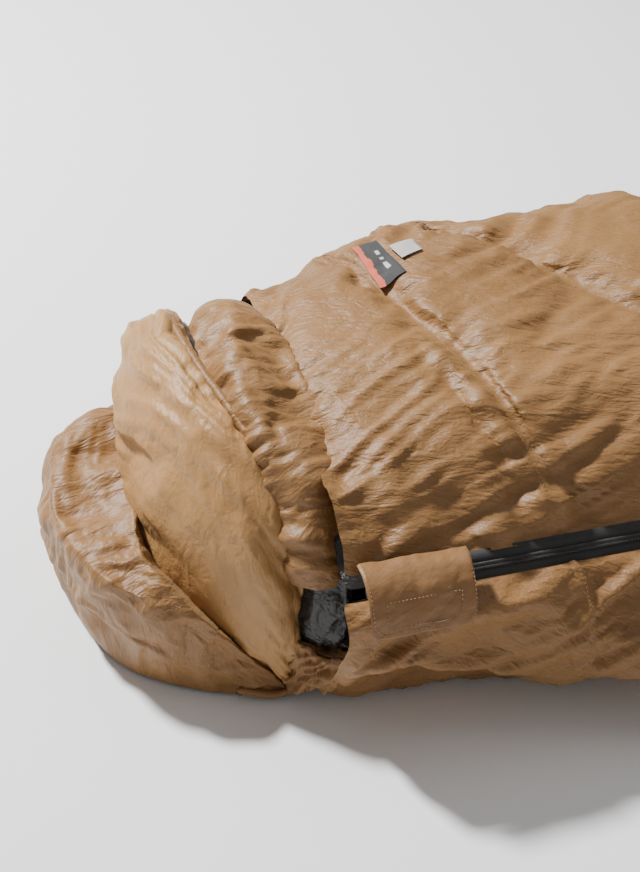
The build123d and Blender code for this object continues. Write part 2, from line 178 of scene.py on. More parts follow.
def nylon(name, colour, shade, roughness, crinkle, turn=0.4, pitch=0.0009):
    """Thin calendered nylon over down: a soft gloss, sharp small creases and a fine weave."""
    nodes = Nodes(name)
    wide = nodes.noise(nodes.uv((1, 1, 1)), 5.0, 4.0, 0.6)
    fine = nodes.noise(nodes.uv((1, 1, 1)), 420.0, 2.0, 0.6)
    tone = nodes.mix(nodes.ramp(wide, 0, 1, 0.3, 0.7), (*shade, 1), (*colour, 1))
    speck = tuple(c * 1.12 for c in colour)
    tone = nodes.mix(nodes.ramp(fine, 0, 0.35, 0.45, 0.8), tone, (*speck, 1))
    normal = None
    for stretch, tilt, share in crease_sizes:
        normal = nodes.bump(creases(nodes, stretch, turn + tilt), crinkle * share, 1.0, normal)
    normal = nodes.bump(woven(nodes, pitch), 0.00004, 0.6, normal)
    nodes.set(Base_Color=tone, Normal=normal, Roughness=nodes.ramp(fine, roughness - 0.04, roughness + 0.05))
    nodes.set(Sheen_Weight=0.10, Sheen_Roughness=0.4, Specular_IOR_Level=0.42)
    nodes.shader.inputs["Sheen Tint"].default_value = (1.0, 0.74, 0.42, 1)
    return nodes.material


def webbing(name, colour, pitch, roughness=0.7):
    """Ribbed woven tape, with the low places of its weave darkened as painted shade."""
    nodes = Nodes(name)
    weave = woven(nodes, pitch)
    # Painted shade: the tone falls to 0.55 of the colour where the weave lies low.
    tone = nodes.mix(nodes.ramp(weave, 0, 1, 0.4, 1.6), (*(c * 0.55 for c in colour), 1), (*colour, 1))
    normal = nodes.bump(weave, 0.00012, 0.8)
    worn = nodes.noise(nodes.uv((1, 1, 1)), 90.0)
    nodes.set(Base_Color=tone, Normal=normal, Roughness=nodes.ramp(worn, roughness - 0.06, roughness + 0.06))
    nodes.set(Sheen_Weight=0.3)
    return nodes.material


def solid(name, colour, roughness, metallic=0.0, grain=300.0, depth=0.00003):
    """Moulded plastic or painted metal, by object coordinates."""
    nodes = Nodes(name)
    place = nodes.add("ShaderNodeTexCoord").outputs["Object"]
    grainy = nodes.noise(place, grain)
    tone = nodes.mix(nodes.ramp(grainy, 0, 1, 0.3, 0.7), (*(c * 0.8 for c in colour), 1), (*colour, 1))
    nodes.set(Base_Color=tone, Roughness=nodes.ramp(grainy, roughness - 0.05, roughness + 0.08))
    nodes.set(Normal=nodes.bump(grainy, depth), Metallic=metallic)
    return nodes.material


def woven_label(name, ground, stripe, pale):
    """Black woven cloth with a warm stripe along one long edge and three plain bars, over flat metres."""
    nodes = Nodes(name)
    split = nodes.add("ShaderNodeSeparateXYZ", {"Vector": nodes.uv((1, 1, 1))})
    u, v = split.outputs["X"], split.outputs["Y"]
    wander = nodes.ramp(nodes.noise(nodes.uv((60, 1, 1)), 1.0, 2.0), -0.006, 0.006)
    stripe_width, bar_middle, bar_half = 0.0075, 0.0205, 0.0022
    warm = nodes.math("LESS_THAN", nodes.math("ADD", v, wander), stripe_width)
    tone = nodes.mix(warm, (*ground, 1), (*stripe, 1))
    for start, stop in ((0.022, 0.030), (0.036, 0.040), (0.046, 0.060)):
        inside = nodes.math("COMPARE", u, (start + stop) / 2, (stop - start) / 2)
        level = nodes.math("COMPARE", v, bar_middle, bar_half)
        tone = nodes.mix(nodes.math("MULTIPLY", inside, level), tone, (*pale, 1))
    nodes.set(Base_Color=tone, Normal=nodes.bump(woven(nodes, 0.0007), 0.0001))
    nodes.set(Roughness=0.6, Sheen_Weight=0.2)
    return nodes.material


gold_tones = ((0.272, 0.134, 0.043), (0.205, 0.098, 0.030))
gold = nylon("golden_nylon", *gold_tones, 0.50, 0.0075)
# The brim's tones are a lighter copy of the golden nylon's: painted light on the brim.
brim_painted_light_tones = ((0.40, 0.211, 0.074), (0.33, 0.168, 0.056))
gold_brim_painted_light = nylon("golden_nylon_brim_painted_light", *brim_painted_light_tones, 0.50, 0.0060, 0.1)
gold_across = nylon("golden_nylon_across", *gold_tones, 0.50, 0.0065, 1.35)
gold_smooth = nylon("golden_nylon_flat", (0.20, 0.098, 0.036), (0.16, 0.076, 0.028), 0.44, 0.0015)
lining = nylon("black_lining", (0.014, 0.013, 0.012), (0.008, 0.008, 0.008), 0.30, 0.0050)
flap_tones = ((0.262, 0.130, 0.047), (0.205, 0.100, 0.036))
gold_flap = nylon("golden_nylon_flap", *flap_tones, 0.46, 0.0022, 0.4, 0.0011)
cord_cloth = webbing("cord_cloth", (0.03, 0.028, 0.027), 0.0006)
webbing_cloth = solid("webbing_cloth", (0.03, 0.029, 0.028), 0.75, 0.0, 900.0, 0.00015)
tape_cloth = webbing("zip_tape_cloth", (0.020, 0.019, 0.018), 0.0008)
thread = webbing("thread", (0.46, 0.27, 0.13), 0.0004, 0.6)
pale_thread = webbing("pale_thread", (0.62, 0.58, 0.52), 0.0004, 0.6)
label_cloth = woven_label("label_cloth", (0.016, 0.015, 0.015), (0.62, 0.10, 0.035), (0.55, 0.53, 0.50))
tag_cloth = webbing("tag_cloth", (0.62, 0.60, 0.56), 0.0006)
hook_cloth = webbing("hook_cloth", (0.022, 0.021, 0.02), 0.0018)
# The coil is a lighter grey than its black nylon: partly its own dark colour, partly a painted highlight
# along the zip.
dark_coil_with_highlight = solid("coil_nylon_with_painted_highlight", (0.10, 0.096, 0.092), 0.28)
black_plastic = solid("black_plastic", (0.02, 0.02, 0.02), 0.42)
dark_metal = solid("painted_slider_metal", (0.035, 0.034, 0.034), 0.35, 0.6)
steel = solid("spring_steel", (0.55, 0.55, 0.56), 0.25, 1.0)
floor_paint = Nodes("pale_floor")
floor_paint.set(Base_Color=(0.92, 0.92, 0.92, 1), Roughness=0.85)


# --- Mesh helpers ---
def running(steps):
    """The distance at each point of a line, from the steps between them."""
    return np.concatenate([[0], np.cumsum(steps)])


def catmull(points, shares):
    """Points at shares of the way along a smooth curve through control points."""
    points = np.asarray(points, float)
    steps = np.linalg.norm(np.diff(points, axis=0), axis=1)
    knots = running(steps) / steps.sum()
    slopes = np.gradient(points, knots, axis=0)
    place = np.clip(np.searchsorted(knots, shares, side="right") - 1, 0, len(steps) - 1)
    width = (knots[place + 1] - knots[place])[:, None]
    t = ((shares - knots[place]) / width[:, 0])[:, None]
    a, b = points[place], points[place + 1]
    da, db = slopes[place] * width, slopes[place + 1] * width
    from_start = (2 * t**3 - 3 * t**2 + 1) * a + (t**3 - 2 * t**2 + t) * da
    return from_start + (3 * t**2 - 2 * t**3) * b + (t**3 - t**2) * db


def grid_object(name, grid, material, wrap=False, flip=False, caps=False):
    """A mesh over a grid of points, with flat coordinates in metres; wrap closes it across its columns."""
    rows, columns = grid.shape[:2]
    spans = columns if wrap else columns - 1
    corner = np.arange(rows - 1)[:, None] * columns + np.arange(spans)[None]
    beside = np.arange(rows - 1)[:, None] * columns + (np.arange(spans)[None] + 1) % columns
    faces = np.stack([corner, beside, beside + columns, corner + columns], -1).reshape(-1, 4)
    if flip:
        faces = faces[:, ::-1]
    ends = []
    if caps:
        first, last = list(range(columns)), list(range((rows - 1) * columns, rows * columns))
        ends = [first, last[::-1]] if flip else [first[::-1], last]
    mesh = bpy.data.meshes.new(name)
    mesh.from_pydata(grid.reshape(-1, 3).tolist(), [], faces.tolist() + ends)
    down = running(np.linalg.norm(np.diff(grid, axis=0), axis=2).mean(1))
    over = running(np.linalg.norm(np.diff(grid, axis=1), axis=2).mean(0))
    flat = np.stack(np.broadcast_arrays(down[:, None], over[None]), -1)
    layer = mesh.uv_layers.new(name="flat").data
    order = np.concatenate([faces.ravel(), np.array(ends, int).ravel()])
    layer.foreach_set("uv", flat.reshape(-1, 2)[order].ravel())
    mesh.materials.append(material)
    mesh.polygons.foreach_set("use_smooth", [True] * len(mesh.polygons))
    piece = bpy.data.objects.new(name, mesh)
    bpy.context.collection.objects.link(piece)
    return piece


def points_of(piece):
    flat = np.empty(len(piece.data.vertices) * 3)
    piece.data.vertices.foreach_get("co", flat)
    return flat.reshape(-1, 3)


def set_points(piece, points):
    piece.data.vertices.foreach_set("co", points.ravel())
    piece.data.update()


def bake(piece):
    """The piece with its modifiers applied."""
    evaluated = piece.evaluated_get(bpy.context.evaluated_depsgraph_get())
    mesh = bpy.data.meshes.new_from_object(evaluated)
    piece.modifiers.clear()
    piece.data = mesh


def inflate(piece, pinned, pressure, slack):
    """Down filling by cloth simulation: pressure on slack fabric that is held along its seams."""
    frames, cap, lowest = 22, 0.035, 0.0015
    start = points_of(piece).copy()
    group = piece.vertex_groups.new(name="held")
    group.add([int(i) for i in pinned], 1.0, "REPLACE")
    modifier = piece.modifiers.new("down", "CLOTH")
    cloth = modifier.settings
    cloth.vertex_group_mass = "held"
    cloth.quality = 5
    cloth.mass = 0.12
    cloth.tension_stiffness = cloth.compression_stiffness = 12
    cloth.shear_stiffness = 4
    cloth.bending_stiffness = 0.3
    cloth.air_damping = 2.5
    cloth.shrink_min = -slack
    cloth.use_pressure = True
    cloth.uniform_pressure_force = pressure
    cloth.effector_weights.gravity = 0
    modifier.point_cache.frame_end = frames
    for number in range(1, frames + 1):
        bpy.context.scene.frame_set(number)
    bake(piece)
    bpy.context.scene.frame_set(1)
    end = points_of(piece)
    move = end - start
    reach = np.linalg.norm(move, axis=1, keepdims=True)
    soft = cap * np.tanh(reach / cap) / np.maximum(reach, 1e-9)
    end = start + move * soft
    end[:, 2] = np.maximum(end[:, 2], lowest)
    set_points(piece, end)


def refine(piece):
    """One level of subdivision, applied."""
    modifier = piece.modifiers.new("round", "SUBSURF")
    modifier.levels = modifier.render_levels = 1
    bake(piece)


def lattice_noise(u, v, seed):
    """Smooth seeded noise at any coordinates, from -1 to 1, with features about one unit across."""
    table = np.random.default_rng(seed).uniform(-1, 1, (64, 64))
    ui, vi = np.floor(u).astype(int), np.floor(v).astype(int)
    uf, vf = u - ui, v - vi
    uf, vf = uf * uf * (3 - 2 * uf), vf * vf * (3 - 2 * vf)
    a, b = table[ui % 64, vi % 64], table[ui % 64, (vi + 1) % 64]
    c, d = table[(ui + 1) % 64, vi % 64], table[(ui + 1) % 64, (vi + 1) % 64]
    return (a * (1 - vf) + b * vf) * (1 - uf) + (c * (1 - vf) + d * vf) * uf


def flat_of(piece):
    """Each vertex's flat coordinates, in metres."""
    mesh = piece.data
    corner = np.empty(len(mesh.loops), int)
    mesh.loops.foreach_get("vertex_index", corner)
    flat = np.empty(len(mesh.loops) * 2)
    mesh.uv_layers[0].data.foreach_get("uv", flat)
    uv = np.zeros((len(mesh.vertices), 2))
    uv[corner] = flat.reshape(-1, 2)
    return uv[:, 0], uv[:, 1]


def crumple(piece, height, long, narrow, turn, seed, seam_at=()):
    """Sharp folds in the fabric, long one way, with stitched puckers along the seams."""
    pucker_height, pinch, lowest = 0.0026, 0.004, 0.0008
    u, v = flat_of(piece)
    normal = np.empty(len(piece.data.vertices) * 3)
    piece.data.vertices.foreach_get("normal", normal)
    a = u * math.cos(turn) + v * math.sin(turn)
    b = v * math.cos(turn) - u * math.sin(turn)
    b = b + 0.4 * narrow * lattice_noise(u / 0.09, v / 0.09, seed + 9)
    fold = np.zeros(len(u))
    for number, (scale, share) in enumerate(((1.0, 0.72), (2.1, 0.62), (4.3, 0.34))):
        noise = lattice_noise(a / long * scale + 7.3 * number, b / narrow * scale, seed + number)
        fold += share * (0.42 - np.abs(noise)) * (1 if number % 2 else -1)
    strength = 0.55 + 0.6 * lattice_noise(u / 0.14, v / 0.14, seed + 5)
    fold *= np.clip(strength, 0.15, 1.2)
    edge = np.clip(np.minimum(v - v.min(), v.max() - v) / 0.012, 0, 1)
    shift = height * fold * edge
    if len(seam_at):
        far = np.min(np.abs(u[:, None] - np.array(seam_at)[None]), axis=1)
        small = lattice_noise(v / 0.0105, u * 0 + 0.5, seed + 6)
        pucker = small + 0.6 * lattice_noise(v / 0.024, u / 0.05, seed + 7)
        beside = np.exp(-((far - 0.010) / 0.012) ** 2)
        shift = shift * np.clip(far / 0.009, 0.15, 1) + pucker_height * pucker * beside * edge
        shift -= pinch * np.exp(-(far / 0.0045) ** 2)
    points = points_of(piece) + normal.reshape(-1, 3) * shift[:, None]
    points[:, 2] = np.maximum(points[:, 2], lowest)
    set_points(piece, points)


# --- The body's shape ---
# x, the widest point on the zip side and on the far side, and the crown's height, as in the CAD.
neck_x, foot_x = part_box("zip_side_shell")[0][0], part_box("zip_side_shell")[1][0]
chamber = 0.194
first_seam = -0.645
outline_rows = np.array([
    (neck_x - 0.050, -0.202, 0.235, 0.240),
    (neck_x, -0.224, 0.262, 0.262),
    (first_seam, -0.258, 0.325, 0.284),
    (first_seam + chamber, -0.308, 0.325, 0.287),
    (first_seam + 3 * chamber, -0.305, 0.315, 0.280),
    (first_seam + 5 * chamber, -0.265, 0.272, 0.255),
    (first_seam + 8 * chamber, -0.210, 0.210, 0.226),
    (foot_x, -0.200, 0.198, 0.215),
])
# The quilt's seams: where each crosses the bag's middle, and how far it slants towards the foot per
# metre towards the zip side.
seams = [(-0.800, 0.0), (-0.645, 0.26), (-0.450, 0.60), (-0.262, 0.44), (-0.066, 0.34), (0.130, 0.30)]
seams += [(0.324, 0.27), (0.518, 0.22), (0.712, 0.16), (0.905, 0.08), (foot_x, 0.0)]
zip_gap = 0.0115          # from the zip's middle to the quilts' edges
near_seams = [(-0.808, 0.0)] + seams[1:]
inset = 0.010             # the seams lie this far inside the quilts' full loft
mesh_size = 0.0075


def outline(x):
    return [np.interp(x, outline_rows[:, 0], outline_rows[:, i]) for i in (1, 2, 3)]


def zip_point(x):
    share = (x - zip_top[0]) / along[0]
    point = zip_top + along * share
    return point[1], point[2]


def quilt_gap(x):
    """Half the gap between the quilts along the zip, closing to a seam beyond the zip's end."""
    return zip_gap * np.clip(1 - (x - 0.52) / 0.05, 0, 1) + 0.0005


def top_line(x):
    near, far, crown = outline(x)
    y, z = zip_point(x)
    gap = quilt_gap(x)
    line = [(y + across[1] * gap, z + across[2] * gap), (y + 0.016, z + 0.030), (y + 0.045, z + 0.058)]
    line += [(y + 0.11, crown - 0.014), (0.3 * near + 0.5 * far, crown - 0.004), (far - 0.135, crown - 0.004)]
    line += [(far - 0.060, crown - 0.030), (far - 0.016, crown * 0.66), (far - 0.010, crown * 0.36)]
    return line + [(far - 0.022, 0.030), (far - 0.052, 0.003)]


def near_line(x):
    near, _, crown = outline(x)
    y, z = zip_point(x)
    gap = quilt_gap(x)
    line = [(near + 0.095, 0.003), (near + 0.050, 0.020), (near + inset, crown * 0.29)]
    line += [(0.45 * near + 0.55 * (y - 0.034), 0.45 * crown * 0.29 + 0.55 * (z - 0.022))]
    return line + [(y - 0.028, z - 0.022), (y - across[1] * gap, z - across[2] * gap)]


def top_lining_line(x):
    """The lining of the top and far-side quilts, from the zip round to the floor."""
    near, far, crown = outline(x)
    y, z = zip_point(x)
    line = [(y + 0.004, z - 0.004), (y + 0.030, z - 0.010), (y + 0.058, z + 0.012)]
    line += [(y + 0.115, crown - 0.052), (0.3 * near + 0.5 * far, crown - 0.050)]
    line += [(far - 0.155, crown - 0.052), (far - 0.105, crown - 0.075), (far - 0.066, crown * 0.62)]
    return line + [(far - 0.055, crown * 0.36), (far - 0.070, 0.050), (far - 0.090, 0.038)]


def near_lining_line(x):
    near, _, crown = outline(x)
    y, z = zip_point(x)
    line = [(near + 0.115, 0.040), (near + 0.076, 0.052), (near + 0.050, crown * 0.30)]
    return line + [(y - 0.020, z - 0.046), (y + 0.004, z - 0.038), (y - 0.004, z - 0.010)]


def body_grid(line, columns, seams=seams):
    """Points over a quilt, its rows following the slanted seams; also the rows that lie on seams."""
    shares = np.linspace(0, 1, columns)
    rows, on_seam, phase = [], [], []
    for (x0, slant0), (x1, slant1) in zip(seams, seams[1:]):
        count = max(3, round((x1 - x0) / mesh_size))
        on_seam.append(len(rows))
        for i in range(count):
            rows.append((x0 + (x1 - x0) * i / count, slant0 + (slant1 - slant0) * i / count))
            phase.append(i / count)
    on_seam.append(len(rows))
    rows.append(seams[-1])
    phase.append(0.0)
    grid = np.empty((len(rows), columns, 3))
    for r, (x, slant) in enumerate(rows):
        guess = catmull([(x, *p) for p in line(x)], shares)
        place = np.clip(x - slant * guess[:, 1], neck_x - 0.06, foot_x)
        for c in range(columns):
            section = catmull([(place[c], *p) for p in line(place[c])], shares[c:c + 1])
            grid[r, c] = section[0]
    return grid, on_seam, np.array(phase)


def normals_of(grid, sign):
    a = np.gradient(grid, axis=0)
    b = np.gradient(grid, axis=1)
    normal = np.cross(a, b) * sign
    return normal / np.maximum(np.linalg.norm(normal, axis=2, keepdims=True), 1e-9)


def soft_noise(shape, cell, seed):
    """Smooth seeded noise over a grid, from -1 to 1, with features a few cells across."""
    source = np.random.default_rng(seed)
    coarse = source.uniform(-1, 1, (shape[0] // cell[0] + 3, shape[1] // cell[1] + 3))
    r = np.arange(shape[0]) / cell[0]
    c = np.arange(shape[1]) / cell[1]
    ri, ci = r.astype(int), c.astype(int)
    rf = (r - ri)[:, None]
    cf = (c - ci)[None]
    rf, cf = rf * rf * (3 - 2 * rf), cf * cf * (3 - 2 * cf)
    corner = [coarse[np.ix_(ri + i, ci + j)] for i in (0, 1) for j in (0, 1)]
    return (corner[0] * (1 - cf) + corner[1] * cf) * (1 - rf) + (corner[2] * (1 - cf) + corner[3] * cf) * rf


def border(rows, columns, sides):
    index = np.arange(rows * columns).reshape(rows, columns)
    parts = {"first": index[0], "last": index[-1], "left": index[:, 0], "right": index[:, -1]}
    return np.concatenate([parts[side] for side in sides])


def quilt(name, line, columns, sign, material, puff, seed, slack, pressure, rows_at=seams):
    grid, on_seam, phase = body_grid(line, columns, rows_at)
    rows = len(grid)
    normal = normals_of(grid, sign)
    edge = np.minimum(np.linspace(0, 1, columns), np.linspace(1, 0, columns))
    bulge = np.sin(np.pi * phase)[:, None] ** 0.5 * np.clip(edge * 14, 0, 1)[None] ** 0.5
    rough = soft_noise((rows, columns), (3, 3), seed) + 0.6 * soft_noise((rows, columns), (7, 5), seed + 1)
    grid = grid + normal * (puff * bulge + 0.0009 * rough * (bulge > 0.05))[..., None]
    piece = grid_object(name, grid, material, flip=sign < 0)
    down = running(np.linalg.norm(np.diff(grid, axis=0), axis=2).mean(1))
    index = np.arange(rows * columns).reshape(rows, columns)
    held = np.concatenate([index[on_seam].ravel(), border(rows, columns, ["left", "right"])])
    inflate(piece, np.unique(held), pressure, slack)
    refine(piece)
    crumple(piece, 0.0115, 0.16, 0.030, 0.45, seed, down[on_seam])
    return piece, points_of(piece)[index[on_seam[1:-1]]]


quilt_top, top_seams = quilt("top_quilt_shell", top_line, 120, -1, gold, 0.016, 11, 0.06, 4.5)
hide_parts("top_shell", "top_down_chambers", "top_baffle_walls", "corner_shell")
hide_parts("corner_down_chambers", "corner_baffle_walls", "far_side_shell",
            "far_side_down_chambers")
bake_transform(quilt_top)

quilt_near, near_seam_lines = quilt(
    "zip_side_quilt_shell", near_line, 36, 1, gold, 0.012, 23, 0.06, 4.0, near_seams)
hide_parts("zip_side_shell", "zip_side_down_chambers", "side_baffle_walls")
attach(quilt_near, "bag")


def lining_quilt(name, line, columns, sign, seed):
    """The black inner skin: shallow puffs between the same seams, made without a simulation."""
    grid, _, phase = body_grid(line, columns)
    normal = normals_of(grid, sign)
    edge = np.minimum(np.linspace(0, 1, columns), np.linspace(1, 0, columns))
    bulge = np.sin(np.pi * phase)[:, None] ** 0.5 * np.clip(edge * 12, 0, 1)[None]
    rough = soft_noise(grid.shape[:2], (4, 6), seed) + 0.5 * soft_noise(grid.shape[:2], (2, 3), seed + 1)
    grid = grid + normal * (0.010 * bulge + 0.003 * rough * bulge)[..., None]
    piece = grid_object(name, grid, lining, flip=sign < 0)
    refine(piece)
    return piece


lining_top = lining_quilt("top_lining_puffs", top_lining_line, 72, 1, 31)
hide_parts("top_lining", "corner_lining", "far_side_lining")
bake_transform(lining_top)
lining_near = lining_quilt("zip_side_lining_puffs", near_lining_line, 26, -1, 37)
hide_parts("zip_side_lining")
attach(lining_near, "bag")


# --- Floor quilt and foot box ---
def floor_edges(x):
    """The floor quilt's near and far edges at x."""
    hood = ((-1.012, 0.000, 0.095), (-0.960, -0.080, 0.160), (-0.830, -0.105, 0.170), (neck_x, -0.145, 0.180))
    if x < neck_x:
        return [np.interp(x, [row[0] for row in hood], [row[i] for row in hood]) for i in (1, 2)]
    near, far, _ = outline(x)
    return near + 0.095, far - 0.052


def floor_quilt(name, height, bulge, material, seed):
    stops = [-1.012, -0.930, neck_x] + [first_seam + i * chamber for i in range(9)] + [foot_x]
    columns = 40
    rows, phase = [], []
    for a, b in zip(stops, stops[1:]):
        count = max(3, round((b - a) / 0.012))
        for i in range(count):
            near, far = floor_edges(a + (b - a) * i / count)
            rows.append([(a + (b - a) * i / count, y, height) for y in np.linspace(near, far, columns)])
            phase.append(i / count)
    near, far = floor_edges(foot_x)
    rows.append([(foot_x, y, height) for y in np.linspace(near, far, columns)])
    grid = np.array(rows)
    puff = np.sin(np.pi * np.array(phase + [0.0]))[:, None] ** 0.5
    rough = soft_noise(grid.shape[:2], (3, 4), seed)
    grid[..., 2] += bulge * puff + 0.15 * bulge * rough * puff
    piece = grid_object(name, grid, material, flip=bulge < 0)
    refine(piece)
    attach(piece, "bag")
    return piece


underside = floor_quilt("underside_quilt_shell", 0.0075, -0.0055, gold_smooth, 41)
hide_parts("bottom_shell", "bottom_down_chambers", "bottom_baffle_walls")
floor_lining = floor_quilt("floor_lining_puffs", 0.026, 0.009, lining, 43)
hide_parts("bottom_lining")


def foot_cap(name, material, depth, bulge, seed, shrink=0.0):
    """A padded end wall: its rim meets the quilts and its middle is pinned by a cross seam."""
    ring_count, ring_points, lowest = 22, 120, 0.003
    rim = near_line(foot_x) + top_line(foot_x)[1:]
    rim = catmull(rim + [rim[0]], np.linspace(0, 1, ring_points + 1))[:-1]
    middle = np.array([0.0, 0.105])
    rings = []
    for share in np.linspace(0, 1, ring_count):
        ring = middle + (rim - middle) * (1 - shrink) * (1 - share)
        swell = 1 - (1 - np.sin(np.pi * min(1, share * 1.15) / 2)) ** 1.6
        x = foot_x + depth * swell
        rings.append([(x, *point) for point in ring])
    grid = np.array(rings)
    grid[..., 2] = np.maximum(grid[..., 2], lowest)
    angle = np.linspace(0, 2 * np.pi, ring_points, endpoint=False)
    lobes = np.abs(np.sin(angle * 2)) ** 0.5
    inner = np.sin(np.pi * np.linspace(0, 1, ring_count)) ** 0.7
    grid[..., 0] += bulge * inner[:, None] * (0.4 + 0.6 * lobes)[None]
    grid[..., 0] += 0.12 * bulge * soft_noise(grid.shape[:2], (2, 5), seed) * inner[:, None]
    piece = grid_object(name, grid, material, wrap=True)
    refine(piece)
    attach(piece, "bag")
    return piece


foot_shell = foot_cap("foot_box_quilt_shell", gold, 0.030, 0.016, 47)
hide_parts("foot_box_shell", "foot_box_down")
foot_lining = foot_cap("foot_box_lining_puffs", lining, -0.004, -0.010, 53, 0.2)
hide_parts("foot_box_lining")


# --- Tubes: the hood's brim, the collar and the draft tube ---
def tube_frames(path, guide):
    """For each point of a path: one unit vector near the guide, and one square to it and the path."""
    tangent = np.gradient(path, axis=0)
    tangent /= np.linalg.norm(tangent, axis=1, keepdims=True)
    first = guide - tangent * (tangent @ guide)[:, None]
    first /= np.linalg.norm(first, axis=1, keepdims=True)
    return first, np.cross(tangent, first)


def tube_grid(controls, wide, deep, rows, columns, taper, guide=(1.0, 0.0, 0.0), start=0.0):
    """A soft tube of an oval section along a path, rounded off over a share of it at each end."""
    shares = np.linspace(0, 1, rows)
    path = catmull(controls, shares)
    first, second = tube_frames(path, np.array(guide))
    angle = start + np.linspace(0, 2 * np.pi, columns, endpoint=False)
    ends = np.clip(np.minimum(shares, 1 - shares) / taper, 0, 1)
    ends = np.sqrt(1 - (1 - ends) ** 2) * 0.92 + 0.08
    grid = path[:, None] + first[:, None] * ((wide * ends)[:, None] * np.cos(angle)[None])[..., None]
    return grid + second[:, None] * ((deep * ends)[:, None] * np.sin(angle)[None])[..., None]


def between_rails(low, high, deep, rows, columns, start=0.0, turn=2 * np.pi):
    """A soft band between two rails: its section is an oval from the low rail to the high one."""
    shares = np.linspace(0, 1, rows)
    low, high = catmull(low, shares), catmull(high, shares)
    middle, half = (low + high) / 2, (high - low) / 2
    tangent = np.gradient(middle, axis=0)
    normal = np.cross(half, tangent)
    normal /= np.linalg.norm(normal, axis=1, keepdims=True)
    deep = np.interp(shares, np.linspace(0, 1, len(deep)), deep)
    angle = start + np.linspace(0, turn, columns, endpoint=turn < 6)
    grid = middle[:, None] + half[:, None] * np.cos(angle)[None, :, None]
    return grid + normal[:, None] * (deep[:, None] * np.sin(angle)[None])[..., None]


# The brim's front and rear rails, from the zip side over the top to the far side, and its half depth.
brim_front = [(-0.826, -0.162, 0.010), (-0.822, -0.158, 0.100), (-0.830, -0.135, 0.190)]
brim_front += [(-0.856, -0.070, 0.252), (-0.880, 0.010, 0.272), (-0.892, 0.080, 0.274)]
brim_front += [(-0.892, 0.140, 0.262), (-0.890, 0.190, 0.190), (-0.885, 0.212, 0.030)]
brim_rear = [(-0.836, -0.160, 0.008), (-0.880, -0.108, 0.040), (-0.918, -0.056, 0.066)]
brim_rear += [(-0.940, -0.018, 0.082), (-0.944, 0.040, 0.112), (-0.934, 0.090, 0.142)]
brim_rear += [(-0.918, 0.140, 0.160), (-0.905, 0.190, 0.120), (-0.890, 0.214, 0.012)]
brim_deep = [0.010, 0.026, 0.034, 0.036, 0.036, 0.036, 0.034, 0.028, 0.010]
brim_rows = 130


def brim(name, material, start, turn, columns, seed, slack, height):
    """One layer of the brim: start and turn give the arc of the section that it covers."""
    grid = between_rails(brim_rear, brim_front, brim_deep, brim_rows, columns, start, turn)
    piece = grid_object(name, grid, material, flip=True)
    held = border(brim_rows, columns, ["left", "right", "first", "last"])
    inflate(piece, np.unique(held), 3.5, slack)
    refine(piece)
    crumple(piece, height, 0.17, 0.034, 0.16, seed)
    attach(piece, "hood_brim")
    return piece


brim_outer = brim("hood_brim_shell_fold", gold_brim_painted_light, -0.15 * np.pi, 1.53 * np.pi, 48, 61, 0.05, 0.014)
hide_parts("hood_brim_shell", "hood_brim_down")
brim_inner = brim("hood_brim_lining_fold", lining, 1.38 * np.pi, 0.47 * np.pi, 18, 67, 0.05, 0.005)
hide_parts("hood_brim_lining")

collar_path = [(-0.806, -0.150, 0.125), (-0.810, -0.120, 0.190), (-0.824, -0.040, 0.238)]
collar_path += [(-0.832, 0.050, 0.250), (-0.836, 0.120, 0.232), (-0.838, 0.185, 0.160)]
collar_rows, collar_columns = 96, 36
collar_grid = tube_grid(collar_path, 0.034, 0.035, collar_rows, collar_columns, 0.08, start=np.pi)
collar = grid_object("collar_shell_tube", collar_grid, gold_across, wrap=True, flip=True)
inflate(collar, border(collar_rows, collar_columns, ["first", "last"]), 3.0, 0.06)
refine(collar)
crumple(collar, 0.009, 0.09, 0.024, 1.5, 71)
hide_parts("collar_shell", "collar_down")
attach(collar, "top_corner")


# --- Hood back ---
cup_rail = [(-0.842, -0.156, 0.008)] + brim_rear[1:-1] + [(-0.893, 0.212, 0.008)]
cup_front = [(-0.842, -0.160, 0.010), (-0.893, -0.152, 0.074), (-0.937, -0.128, 0.124)]
cup_front += [(-0.960, -0.090, 0.142), (-0.960, -0.010, 0.150), (-0.948, 0.066, 0.158)]
cup_front += [(-0.924, 0.138, 0.162), (-0.908, 0.190, 0.122), (-0.893, 0.216, 0.008)]
cup_ground = [(-0.852, -0.162, 0.004), (-0.930, -0.132, 0.004), (-0.988, -0.088, 0.004)]
cup_ground += [(-1.026, 0.000, 0.004), (-1.034, 0.070, 0.004), (-1.008, 0.130, 0.004)]
cup_ground += [(-0.960, 0.185, 0.004), (-0.900, 0.218, 0.004)]
hood_middle = np.array([-0.930, 0.030, 0.030])


